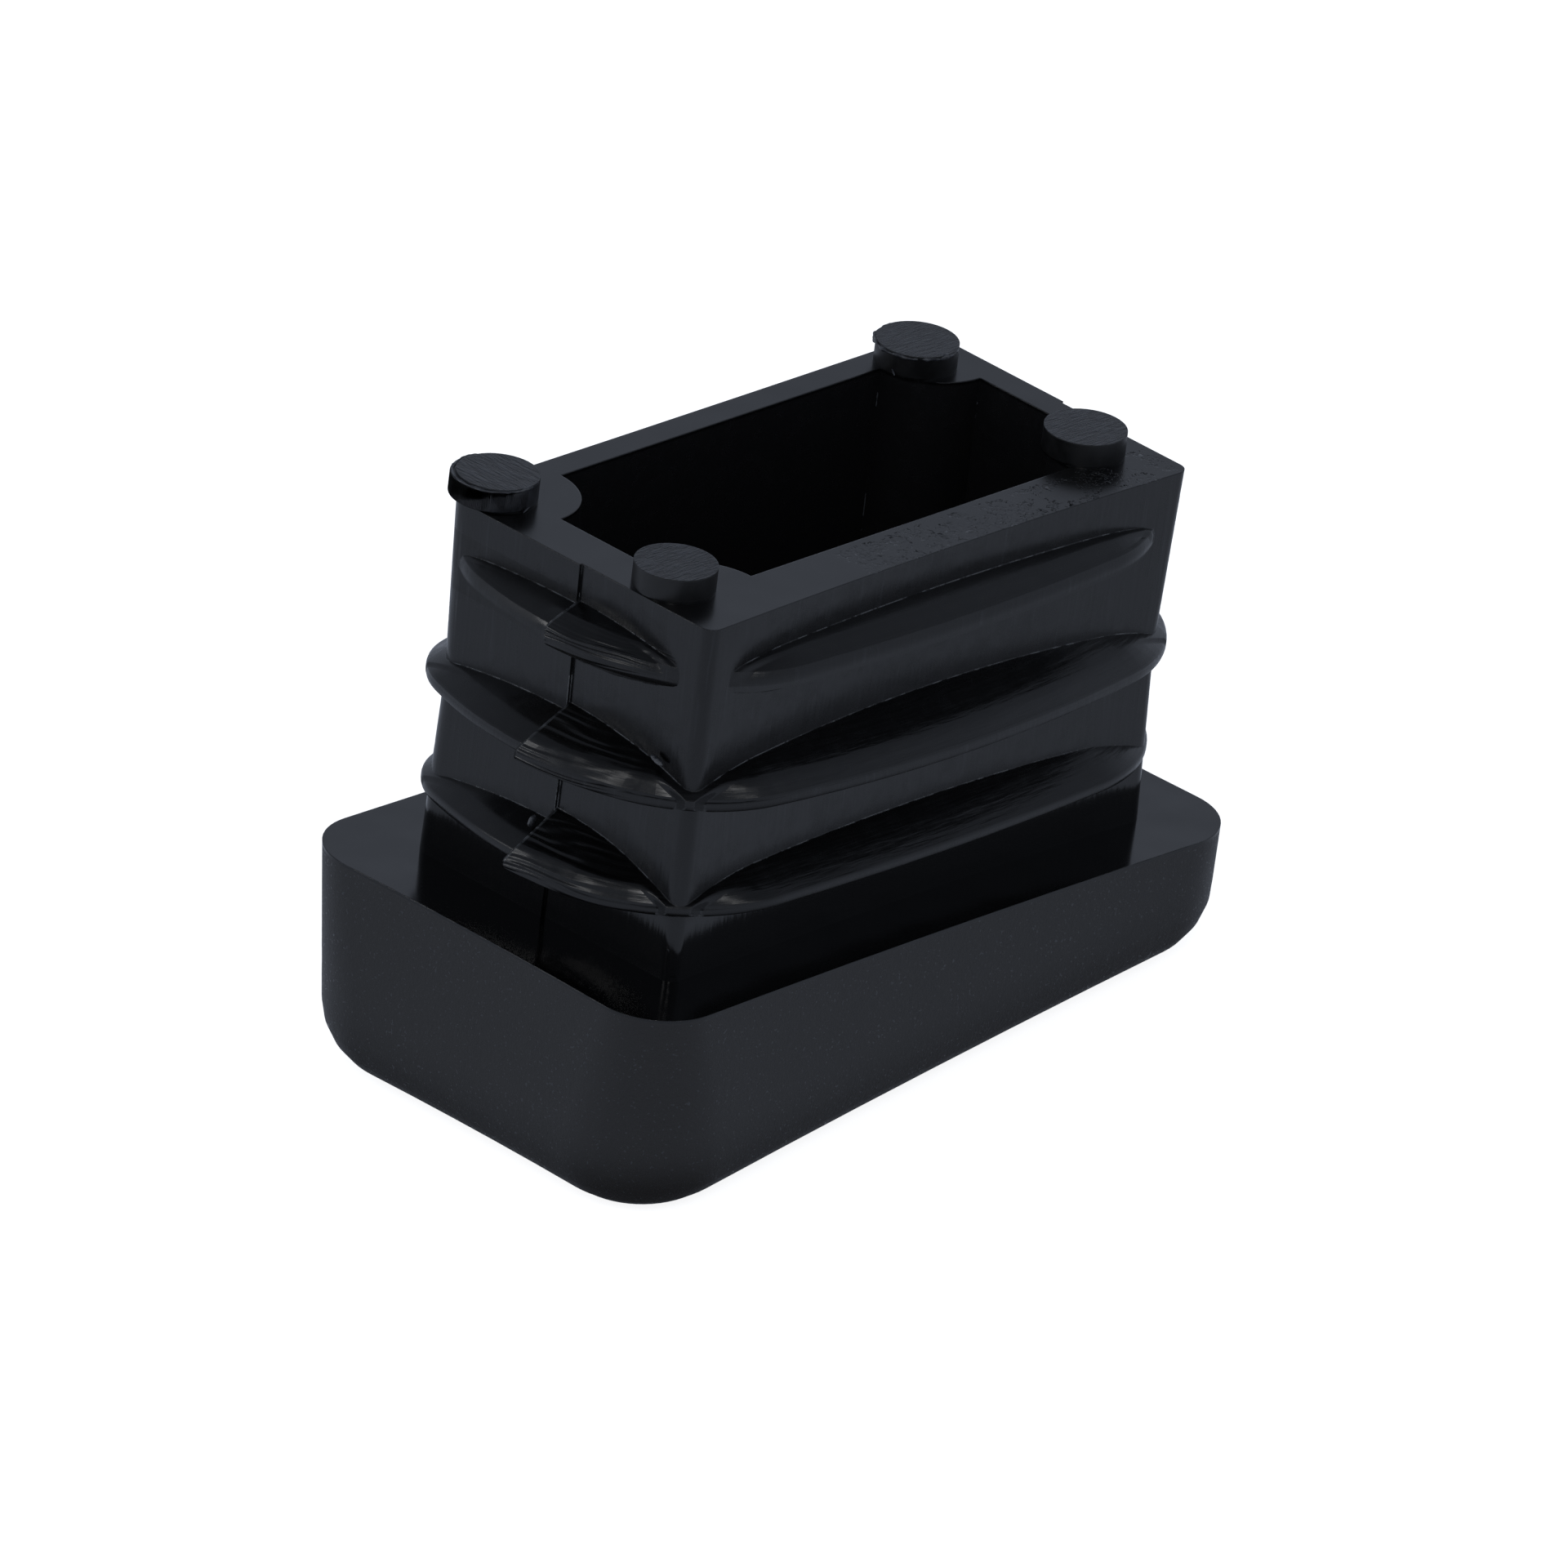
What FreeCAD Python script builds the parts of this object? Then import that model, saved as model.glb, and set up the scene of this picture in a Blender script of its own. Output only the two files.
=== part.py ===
import FreeCAD, Part
import math
import os
import Sketcher
from FreeCAD import Placement, Rotation, Vector

# Slanted foot cap for a rectangular tube, moulded in one piece.
# Built in the plug's own frame: Z is the tube's axis, z = 0 is the seat that the tube's end rests on,
# X runs along the tube's long side towards the thin end of the foot. The finished cap is then turned
# by the slant so that it stands on its sole.
SIZES = [
    ("seat_length", 49.9, "foot at the seat, as long as the tube's outside"),
    ("seat_width", 30.4, "foot at the seat, as wide as the tube's outside"),
    ("seat_shift_x", -0.15, "seat's middle from the plug's axis"),
    ("seat_shift_y", 0.2, "seat's middle from the plug's axis"),
    ("seat_corner", 4.2, "corner radius of the foot at the seat"),
    ("foot_sink", 0.4, "how far the foot's sides are sunk in at their middle"),
    ("sole_length", 51.5, "foot at the sole, before its edge is rounded"),
    ("sole_width", 30.7, "foot at the sole, before its edge is rounded"),
    ("sole_shift_x", 0.82, "middle of the rounding's upper end, measured along the sole from the plug's axis"),
    ("sole_shift_y", -0.08, "sole's middle from the plug's axis"),
    ("sole_corner", 6.5, "corner radius of the foot at the sole"),
    ("sole_rounding", 4.35, "rounding of the sole's edge"),
    ("foot_depth", 11.2, "seat to sole along the plug's axis"),
    ("slant", 7.7, "degrees between the tube's axis and the upright"),
    ("plug_height", 22.8, "seat to rim"),
    ("plug_length_front", 39.7, "plug at the rim, front mould half"),
    ("plug_length_back", 40.1, "plug at the rim, back mould half"),
    ("plug_width_front", 21.9, "twice the rim's distance from the plug's axis, front mould half"),
    ("plug_width_back", 21.4, "twice the rim's distance from the plug's axis, back mould half"),
    ("plug_sink_front", 0.42, "how far the long side is sunk in at its middle, front mould half"),
    ("plug_sink_back", 0.06, "how far the long side is sunk in at its middle, back mould half"),
    ("plug_end_sink", 0.02, "how far the plug's short sides are sunk in at their middle"),
    ("parting", -0.3, "seam between the two mould halves, across the plug"),
    ("plug_corner_front", 0.8, "corner radius of the plug, front half"),
    ("plug_corner_back", 1.4, "corner radius of the plug, back half"),
    ("plug_waist", 0.36, "how far the plug is drawn in at half its height"),
    ("plug_root", 0.15, "how far the plug is drawn in at the seat"),
    ("hollow_length", 34.8, "hollow at the rim, long side"),
    ("hollow_width", 15.65, "hollow at the rim, short side"),
    ("hollow_shift_x", 0.7, "hollow's middle from the plug's axis"),
    ("hollow_shift_y", 0.97, "hollow's middle from the plug's axis"),
    ("hollow_depth", 24.0, "rim to the floor of the hollow"),
    ("hollow_draft", 0.8, "how much the hollow narrows to its floor, each side"),
    ("column_radius", 4.15, "quarter-round columns in the hollow's corners"),
    ("peg_radius", 2.48, "pegs on the rim"),
    ("peg_height", 1.5, "pegs on the rim"),
]

# Middle of each peg on the rim: x, y.
PEGS = {
    "peg_front_left": (-17.3, -5.25),
    "peg_back_left": (-17.7, 9.0),
    "peg_back_right": (16.3, 8.25),
    "peg_front_right": (16.3, -5.6),
}

# Ribs, from the rim down. Both mould halves share the heights and slopes of a rib.
RIB_HEIGHTS = {
    "upper": {"nose": 18.98, "band": 1.25, "rounding": 0.55, "ramp_slope": 0.32, "under_slope": 0.6, "run": 3.3},
    "middle": {"nose": 11.55, "band": 0.65, "rounding": 0.28, "ramp_slope": 0.47, "under_slope": 0.35, "run": 5.0},
    "lower": {"nose": 4.5, "band": 0.55, "rounding": 0.24, "ramp_slope": 0.54, "under_slope": 0.35, "run": 4.8},
}

# Plan outline of each rib at its nose: it is bowed, and the front half stands further out than the back half.
RIB_OUTLINES = {
    "upper_front": {"length": 44.8, "width": 25.9, "end_radius": 16.1, "side_radius": 157.0, "corner": 9.5},
    "upper_back": {"length": 44.2, "width": 25.7, "end_radius": 25.0, "side_radius": 146.0, "corner": 7.6},
    "middle_front": {"length": 47.5, "width": 28.7, "end_radius": 18.8, "side_radius": 94.0, "corner": 9.7},
    "middle_back": {"length": 45.7, "width": 26.6, "end_radius": 25.6, "side_radius": 178.0, "corner": 5.8},
    "lower_front": {"length": 47.4, "width": 26.3, "end_radius": 23.0, "side_radius": 240.0, "corner": 10.5},
    "lower_back": {"length": 44.7, "width": 26.1, "end_radius": 26.8, "side_radius": 148.0, "corner": 5.6},
}

SHEET = "Sizes"


class Size:
    """A number together with the sheet formula that it comes from."""

    def __init__(self, value, text):
        self.value = float(value)
        self.text = text

    @staticmethod
    def of(thing):
        return thing if isinstance(thing, Size) else Size(thing, repr(float(thing)))

    def __add__(self, other):
        other = Size.of(other)
        return Size(self.value + other.value, f"({self.text} + {other.text})")

    def __sub__(self, other):
        other = Size.of(other)
        return Size(self.value - other.value, f"({self.text} - {other.text})")

    def __mul__(self, other):
        other = Size.of(other)
        return Size(self.value * other.value, f"({self.text} * {other.text})")

    def __truediv__(self, other):
        other = Size.of(other)
        return Size(self.value / other.value, f"({self.text} / {other.text})")

    def __neg__(self):
        return Size(-self.value, f"(0 - {self.text})")


def make_sheet(document):
    """Write every driving size into the sheet and return them by name."""
    rows = list(SIZES)
    for name, (x, y) in PEGS.items():
        rows.append((f"{name}_x", x, "middle of this peg, along the plug"))
        rows.append((f"{name}_y", y, "middle of this peg, across the plug"))
    for table, note in ((RIB_HEIGHTS, "heights and slopes of the rib"), (RIB_OUTLINES, "plan outline at the nose")):
        for rib, entries in table.items():
            for key, value in entries.items():
                rows.append((f"rib_{rib}_{key}", value, note))
    sheet = document.addObject("Spreadsheet::Sheet", SHEET)
    sizes = {}
    for row, (name, value, note) in enumerate(rows, start=1):
        sheet.set(f"A{row}", name)
        sheet.set(f"B{row}", repr(float(value)))
        sheet.set(f"C{row}", note)
        sheet.setAlias(f"B{row}", name)
        sizes[name] = Size(value, f"{SHEET}.{name}")
    document.recompute()
    return sizes


def level_sketch(body, name, height, slant=None, shift=None, lift=None):
    """A sketch on the plane z = height of the body, rising towards X by slant and moved along Y by shift.

    lift is a further distance from that plane, square to it.
    """
    sketch = body.newObject("Sketcher::SketchObject", name)
    plane = next(part for part in body.Origin.OriginFeatures if part.Role == "XY_Plane")
    sketch.AttachmentSupport = (plane, [""])
    sketch.MapMode = "FlatFace"
    angle = slant.value if slant else 0.0
    shift = shift or Size.of(0.0)
    if lift:
        across = Size(lift.value * math.sin(math.radians(angle)), f"({lift.text} * sin({slant.text} * 1 deg))")
        upwards = Size(lift.value * math.cos(math.radians(angle)), f"({lift.text} * cos({slant.text} * 1 deg))")
    else:
        across, upwards = Size.of(0.0), Size.of(0.0)
    place = {"x": -across, "y": shift, "z": height + upwards}
    offset = Vector(*(value.value for value in place.values()))
    sketch.AttachmentOffset = Placement(offset, Rotation(Vector(0, -1, 0), angle))
    for axis, value in place.items():
        sketch.setExpression(f"AttachmentOffset.Base.{axis}", value.text)
    if slant:
        sketch.setExpression("AttachmentOffset.Rotation.Angle", f"{slant.text} * 1 deg")
    return sketch


def constrain(sketch, kind, places, size, name):
    """Add a constraint with a value and tie that value to the sheet."""
    index = sketch.addConstraint(Sketcher.Constraint(kind, *places, size.value))
    sketch.renameConstraint(index, name)
    sketch.setExpression(f"Constraints.{name}", size.text)


def add_arc(sketch, centre, radius, start, end):
    """Add the short arc from start to end. Return its index and its own numbers for start and end."""
    angles = [math.atan2(p[1] - centre[1], p[0] - centre[0]) for p in (start, end)]
    turn = (angles[1] - angles[0]) % (2 * math.pi)
    forward = turn < math.pi
    low, high = angles if forward else angles[::-1]
    if high < low:
        high += 2 * math.pi
    circle = Part.Circle(Vector(*centre, 0), Vector(0, 0, 1), radius)
    index = sketch.addGeometry(Part.ArcOfCircle(circle, low, high))
    return index, (1, 2) if forward else (2, 1)


def meeting_point(first, first_reach, second, second_reach, near):
    """The point at the given distances from two points, of the two the one closer to near."""
    dx, dy = second[0] - first[0], second[1] - first[1]
    gap = math.hypot(dx, dy)
    along = (first_reach**2 - second_reach**2 + gap**2) / (2 * gap)
    across = math.sqrt(max(first_reach**2 - along**2, 0.0))
    options = []
    for sign in (1, -1):
        x = first[0] + (along * dx - sign * across * dy) / gap
        y = first[1] + (along * dy + sign * across * dx) / gap
        options.append((x, y))
    return min(options, key=lambda p: math.dist(p, near))


def point_towards(centre, target, distance):
    """The point at a distance from centre, in the direction of target."""
    reach = math.dist(centre, target)
    return tuple(c + (t - c) * distance / reach for c, t in zip(centre, target))


def bowed_outline(sketch, low, high, half_width, end_radius, side_radius, corner, bulge):
    """A rectangle with bowed sides and rounded corners, from x = low to x = high.

    bulge is 1 where the sides bow outwards and -1 where they are sunk in.
    """
    middle = (low + high) / 2
    low_centre, high_centre = low + end_radius * bulge, high - end_radius * bulge
    front_centre = side_radius * bulge - half_width
    arcs = [
        ("end", (low_centre.value, 0.0), low_centre, end_radius),
        ("side", (middle.value, front_centre.value), front_centre, side_radius),
        ("end", (high_centre.value, 0.0), high_centre, end_radius),
        ("side", (middle.value, -front_centre.value), -front_centre, side_radius),
    ]
    tips = [(low.value, -half_width.value), (high.value, -half_width.value),
            (high.value, half_width.value), (low.value, half_width.value)]
    corners = []
    for number, near in enumerate(tips):
        before, after = arcs[number], arcs[(number + 1) % 4]
        centre = meeting_point(before[1], before[3].value - corner.value * bulge,
                               after[1], after[3].value - corner.value * bulge, near)
        start = point_towards(centre, before[1], -bulge * corner.value)
        finish = point_towards(centre, after[1], -bulge * corner.value)
        corners.append((centre, start, finish))
    placed = []
    for number, (kind, centre, offset, radius) in enumerate(arcs):
        index, points = add_arc(sketch, centre, radius.value, corners[number - 1][2], corners[number][1])
        placed.append((index, points))
        constrain(sketch, "Radius", (index,), radius, f"radius_{number}")
        if kind == "end":
            sketch.addConstraint(Sketcher.Constraint("PointOnObject", index, 3, -1))
            constrain(sketch, "DistanceX", (index, 3), offset, f"centre_x_{number}")
        else:
            constrain(sketch, "DistanceX", (index, 3), middle, f"centre_x_{number}")
            constrain(sketch, "DistanceY", (index, 3), offset, f"centre_y_{number}")
        centre, start, finish = corners[number]
        index, points = add_arc(sketch, centre, corner.value, start, finish)
        placed.append((index, points))
        constrain(sketch, "Radius", (index,), corner, f"corner_{number}")
    for number, (index, points) in enumerate(placed):
        following, next_points = placed[(number + 1) % len(placed)]
        sketch.addConstraint(Sketcher.Constraint("Tangent", index, points[1], following, next_points[0]))


def sink_radius(half_side, sink):
    """Radius of a side that is sunk in by sink at its middle."""
    return (half_side * half_side + sink * sink) / (sink * 2)


def make_loft(body, name, sketches, ruled):
    body.Document.recompute()
    loft = body.newObject("PartDesign::AdditiveLoft", name)
    loft.Profile = sketches[0]
    loft.Sections = sketches[1:]
    loft.Ruled = ruled
    body.Tip = loft
    body.Document.recompute()
    return loft


def foot_outline(sketch, s, name, inset):
    """Plan of the foot at its seat or at its sole, drawn in by inset."""
    sink = s["foot_sink"]
    half_length, half_width = s[f"{name}_length"] / 2, s[f"{name}_width"] / 2
    shift = s[f"{name}_shift_x"]
    bowed_outline(sketch, shift - half_length + sink + inset, shift + half_length - sink - inset,
                  half_width - sink - inset, sink_radius(half_width, sink) + inset,
                  sink_radius(half_length, sink) + inset, s[f"{name}_corner"] - inset, -1)


def make_foot(document, s):
    """The foot: level at the seat, slanted and rounded at the sole."""
    body = document.addObject("PartDesign::Body", "foot")
    seat = level_sketch(body, "seat_outline", Size.of(0.0), None, s["seat_shift_y"])
    foot_outline(seat, s, "seat", Size.of(0.0))
    sketches = [seat]
    steps = 6
    for step in range(steps + 1):
        angle = math.pi / 2 * step / steps
        lift = s["sole_rounding"] * (1 - math.sin(angle))
        inset = s["sole_rounding"] * (1 - math.cos(angle))
        sketch = level_sketch(body, f"sole_outline_{step}", -s["foot_depth"], s["slant"],
                              s["sole_shift_y"], lift)
        foot_outline(sketch, s, "sole", inset)
        sketches.append(sketch)
    make_loft(body, "foot_block", sketches, True)
    return body


def make_plug(document, s, side):
    """The plug as one mould half has it, drawn in at mid height, its long sides sunk in at their middle."""
    body = document.addObject("PartDesign::Body", f"plug_{side}")
    sink = s[f"plug_sink_{side}"]
    levels = [("rim", s["plug_height"], Size.of(0.0)), ("waist", s["plug_height"] / 2, s["plug_waist"]),
              ("root", Size.of(0.0), s["plug_root"])]
    sketches = []
    for name, height, drawn_in in levels:
        sketch = level_sketch(body, f"plug_{side}_{name}", height)
        half_length = s[f"plug_length_{side}"] / 2 - drawn_in
        half_width = s[f"plug_width_{side}"] / 2 - drawn_in
        bowed_outline(sketch, -half_length, half_length, half_width - sink,
                      sink_radius(half_width, s["plug_end_sink"]), sink_radius(half_length, sink),
                      s[f"plug_corner_{side}"], -1)
        sketches.append(sketch)
    make_loft(body, f"plug_{side}_wall", sketches, True)
    return body


def rounded_corner(inset, height, radius, in_angle, out_angle, steps):
    """Sections of the rounding of a nose: in and out are the directions of the rib's surface, in degrees
    above the level, before and after the corner at the given inset and height."""
    turn = math.radians(out_angle - in_angle)
    reach = math.tan(turn / 2)
    start = math.radians(in_angle)
    sections = []
    for step in range(steps + 1):
        angle = start + turn * step / steps
        # From the corner back along the first direction, then round the arc.
        out = math.sin(angle) - math.sin(start) - reach * math.cos(start)
        up = math.cos(start) - math.cos(angle) - reach * math.sin(start)
        sections.append((inset - radius * out, height + radius * up))
    return sections


def make_rib(document, s, rib, side):
    """A rib as one mould half has it: a ramp that rises inwards from a rounded nose, and a sloping underside."""
    label = f"rib_{rib}_{side}"
    body = document.addObject("PartDesign::Body", label)
    keys = ("nose", "band", "run", "rounding", "ramp_slope", "under_slope")
    nose, band, run, rounding, ramp_slope, under_slope = (s[f"rib_{rib}_{key}"] for key in keys)
    under_angle = math.degrees(math.atan(under_slope.value))
    ramp_angle = 180 - math.degrees(math.atan(ramp_slope.value))
    outside = Size.of(0.0)
    levels = [
        (run, nose - band / 2 - under_slope * run),
        *rounded_corner(outside, nose - band / 2, rounding, under_angle, 90, 2),
        *rounded_corner(outside, nose + band / 2, rounding, 90, ramp_angle, 2),
        (run, nose + band / 2 + ramp_slope * run),
    ]
    sketches = []
    for number, (inset, height) in enumerate(reversed(levels)):
        sketch = level_sketch(body, f"{label}_section_{number}", height)
        half_length = s[f"{label}_length"] / 2 - inset
        bowed_outline(sketch, -half_length, half_length, s[f"{label}_width"] / 2 - inset,
                      s[f"{label}_end_radius"] - inset, s[f"{label}_side_radius"] - inset,
                      s[f"{label}_corner"] - inset, 1)
        sketches.append(sketch)
    make_loft(body, f"{label}_disc", sketches, True)
    return body


def make_mould_half(document, s, side):
    """Plug and ribs as one mould half shapes them, cut off at the seam."""
    whole = document.addObject("Part::MultiFuse", f"whole_{side}")
    whole.Shapes = [make_plug(document, s, side)] + [make_rib(document, s, rib, side) for rib in RIB_HEIGHTS]
    room = document.addObject("Part::Box", f"mould_{side}")
    low_y = s["parting"] - s["seat_width"] if side == "front" else s["parting"]
    for name, size in (("Length", s["seat_length"]), ("Width", s["seat_width"]), ("Height", s["plug_height"])):
        setattr(room, name, size.value)
        room.setExpression(name, size.text)
    room.Placement = Placement(Vector(-s["seat_length"].value / 2, low_y.value, 0), Rotation())
    room.setExpression("Placement.Base.x", (-s["seat_length"] / 2).text)
    room.setExpression("Placement.Base.y", low_y.text)
    half = document.addObject("Part::Common", f"half_{side}")
    half.Base = whole
    half.Tool = room
    document.recompute()
    return half


def make_hollow(document, s):
    """The plug's hollow, as a solid: a tapered box with a quarter-round column missing at each corner."""
    body = document.addObject("PartDesign::Body", "hollow")
    radius = s["column_radius"]
    r = radius.value
    above = s["peg_height"]
    levels = [("mouth", s["plug_height"] + above, -s["hollow_draft"] * above / s["hollow_depth"]),
              ("floor", s["plug_height"] - s["hollow_depth"], s["hollow_draft"])]
    sketches = []
    for name, height, inset in levels:
        sketch = level_sketch(body, f"hollow_{name}", height)
        half_length = s["hollow_length"] / 2 - inset
        half_width = s["hollow_width"] / 2 - inset
        low_x, high_x = s["hollow_shift_x"] - half_length, s["hollow_shift_x"] + half_length
        low_y, high_y = s["hollow_shift_y"] - half_width, s["hollow_shift_y"] + half_width
        corners = [(low_x, low_y), (high_x, low_y), (high_x, high_y), (low_x, high_y)]
        arcs = []
        for number, (x, y) in enumerate(corners):
            turn = math.pi / 2 * number
            circle = Part.Circle(Vector(x.value, y.value, 0), Vector(0, 0, 1), r)
            index = sketch.addGeometry(Part.ArcOfCircle(circle, turn, turn + math.pi / 2))
            arcs.append(index)
            constrain(sketch, "Radius", (index,), radius, f"column_{number}")
            constrain(sketch, "DistanceX", (index, 3), x, f"corner_x_{number}")
            constrain(sketch, "DistanceY", (index, 3), y, f"corner_y_{number}")
        for number, index in enumerate(arcs):
            following = arcs[(number + 1) % 4]
            start = sketch.getPoint(index, 1)
            end = sketch.getPoint(following, 2)
            line = sketch.addGeometry(Part.LineSegment(start, end))
            sketch.addConstraint(Sketcher.Constraint("Coincident", index, 1, line, 1))
            sketch.addConstraint(Sketcher.Constraint("Coincident", following, 2, line, 2))
            sketch.addConstraint(Sketcher.Constraint("PointOnObject", index, 3, line))
            sketch.addConstraint(Sketcher.Constraint("Horizontal" if number % 2 == 0 else "Vertical", line))
        sketches.append(sketch)
    make_loft(body, "hollow_core", sketches, True)
    return body


def make_peg(document, s, name):
    """One round peg, standing on the plug's rim."""
    body = document.addObject("PartDesign::Body", name)
    sketch = level_sketch(body, f"{name}_outline", s["plug_height"])
    centre = Vector(s[f"{name}_x"].value, s[f"{name}_y"].value, 0)
    index = sketch.addGeometry(Part.Circle(centre, Vector(0, 0, 1), s["peg_radius"].value))
    constrain(sketch, "Radius", (index,), s["peg_radius"], "peg_radius")
    constrain(sketch, "DistanceX", (index, 3), s[f"{name}_x"], "peg_x")
    constrain(sketch, "DistanceY", (index, 3), s[f"{name}_y"], "peg_y")
    pad = body.newObject("PartDesign::Pad", f"{name}_pad")
    pad.Profile = sketch
    pad.Length = s["peg_height"].value
    pad.setExpression("Length", s["peg_height"].text)
    body.Tip = pad
    document.recompute()
    return body


def make_cap(document, s):
    """All parts of the moulding, made one, with the hollow taken out."""
    fused = document.addObject("Part::MultiFuse", "moulding")
    fused.Shapes = [make_foot(document, s)] + [make_mould_half(document, s, side) for side in ("front", "back")]
    fused.Refine = True
    document.recompute()
    hollowed = document.addObject("Part::Cut", "hollowed")
    hollowed.Base = fused
    hollowed.Tool = make_hollow(document, s)
    document.recompute()
    print("volume before and after the hollow", round(fused.Shape.Volume), round(hollowed.Shape.Volume))
    cap = document.addObject("Part::MultiFuse", "end_cap")
    cap.Label = "end_cap"
    cap.Shapes = [hollowed] + [make_peg(document, s, name) for name in PEGS]
    document.recompute()
    return cap


def stand_on_sole(document, s, cap):
    """Turn the cap by its slant so that it stands on its sole, with the origin under its middle."""
    turn = Rotation(Vector(0, 1, 0), s["slant"].value)
    cap.Placement = Placement(Vector(0, 0, 0), turn)
    document.recompute()
    box = cap.Shape.optimalBoundingBox(False)
    cap.Placement = Placement(Vector(-box.Center.x, -box.Center.y, -box.ZMin), turn)
    document.recompute()
    print("moved by", [round(value, 4) for value in cap.Placement.Base])


def check(document, cap):
    for thing in document.Objects:
        if "Invalid" in thing.State or "Error" in thing.State:
            raise RuntimeError(f"{thing.Name} failed: {thing.State}")
    shape = cap.Shape
    if shape.isNull() or not shape.isValid() or len(shape.Solids) != 1:
        raise RuntimeError(f"{cap.Name} is not one valid solid")
    for body in document.findObjects("PartDesign::Body"):
        if body.Shape.isNull() or not body.Shape.isValid() or len(body.Shape.Solids) != 1:
            raise RuntimeError(f"{body.Name} is not one valid solid")
    box = shape.optimalBoundingBox(False)
    print("box", [round(v, 3) for v in (box.XMin, box.XMax, box.YMin, box.YMax, box.ZMin, box.ZMax)])
    print("volume", round(shape.Volume, 1), "faces", len(shape.Faces))


def main():
    os.makedirs("parts", exist_ok=True)
    document = FreeCAD.newDocument("slanted_end_cap")
    sizes = make_sheet(document)
    cap = make_cap(document, sizes)
    stand_on_sole(document, sizes, cap)
    check(document, cap)
    cap.Shape.exportStep(f"parts/{cap.Label}.step")


main()
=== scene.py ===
import math

import bpy
from bpy.props import FloatProperty, FloatVectorProperty, PointerProperty
from bpy.types import Operator, Panel, PropertyGroup
from mathutils import Euler, Matrix, Vector


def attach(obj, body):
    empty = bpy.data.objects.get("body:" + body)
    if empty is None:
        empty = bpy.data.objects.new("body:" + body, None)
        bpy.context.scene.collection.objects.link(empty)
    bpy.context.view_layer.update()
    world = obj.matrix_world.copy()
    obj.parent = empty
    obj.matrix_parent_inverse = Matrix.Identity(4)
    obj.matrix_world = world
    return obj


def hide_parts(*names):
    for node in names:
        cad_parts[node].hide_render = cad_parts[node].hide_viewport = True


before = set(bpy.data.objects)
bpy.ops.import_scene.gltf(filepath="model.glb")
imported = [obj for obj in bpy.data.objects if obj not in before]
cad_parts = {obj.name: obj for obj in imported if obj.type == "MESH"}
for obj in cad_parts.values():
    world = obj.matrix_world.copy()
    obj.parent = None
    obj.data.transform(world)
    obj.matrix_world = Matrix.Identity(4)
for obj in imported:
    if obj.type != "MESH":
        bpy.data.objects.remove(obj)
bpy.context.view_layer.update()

bl_info = {
    "name": "Slanted tube end cap",
    "version": (1, 0, 0),
    "blender": (4, 5, 0),
    "location": "View3D > Sidebar > End Cap",
    "description": "Moulded plastic end cap for a rectangular tube, with its studio",
    "category": "Object",
}

CAP_NODE = "end_cap"
MM = 0.001
SENSOR_WIDTH = 36.0

# Height of a direction, from straight down at -1 to straight up at 1, and the room's light level there.
ROOM_LEVELS = [
    (-1.0, 0.05),
    (-0.84, 0.12),
    (-0.66, 0.75),
    (-0.52, 1.0),
    (-0.3, 1.08),
    (0.3, 1.0),
    (0.5, 0.72),
    (0.62, 0.62),
    (0.78, 0.5),
    (1.0, 0.3),
]

# Where the lights look, in metres.
CAP_MIDDLE = (0.0, 0.0, 0.02)

# Name, place and side in metres, share of the light power: a half ring of soft lights on the cap's left.
SOFT_LIGHTS = [
    ("nose_light", (-0.75, 0.57, 0.33), 0.20, 0.42),
    ("left_light", (-0.75, 0.05, 0.66), 0.22, 0.35),
    ("corner_light", (-0.52, -0.52, 0.68), 0.22, 0.85),
    ("front_light", (0.05, -0.75, 0.66), 0.20, 0.25),
]

# Heights and places below are in the plug's own frame, in millimetres: z up from the seat, x along the plug.
# First the rim, the pegs' tops, and how far out the plug's end and side walls reach.
RIM = 22.8
PEG_TOP = 24.3
WALL_END = 19.85
WALL_SIDE = 10.8

# How each rib's nose is rolled, from the rim down: the heights where the roll starts and is whole, where it
# stops being whole and ends, its depth, and the share of the depth on the long side.
NOSE_ROLLS = [
    (18.6, 19.75, 19.65, 20.1, 0.28, 1.0),
    (10.4, 11.2, 11.68, 12.63, 0.9, 0.6),
    (3.3, 4.1, 4.58, 5.5, 0.75, 0.0),
]

# Heights between which each rib's ramp carries the cutter's ridges.
RIDGED_RAMPS = [(11.3, 13.5), (4.3, 6.6), (18.5, 20.0)]

# Middle of each peg's foot.
PEG_FEET = [(-17.3, -5.25, RIM), (-17.7, 9.0, RIM), (16.3, 8.25, RIM), (16.3, -5.6, RIM)]

# Name, place on the rim, radius, thickness of the lip, how ragged it is.
PEG_BURRS = [
    ("burr_of_left_peg", (-17.82, 9.1), 2.6, 0.08, 0.23),
    ("burr_of_back_peg", (16.22, 8.3), 2.53, 0.1, 0.34),
]

# Name, place on the rim, radius, height, how uneven it is: sleeves where a peg was squeezed out of round.
PEG_BULGES = [
    ("bulge_of_left_peg", (-17.85, 9.14), 2.62, 1.36, 0.02),
]

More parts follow.
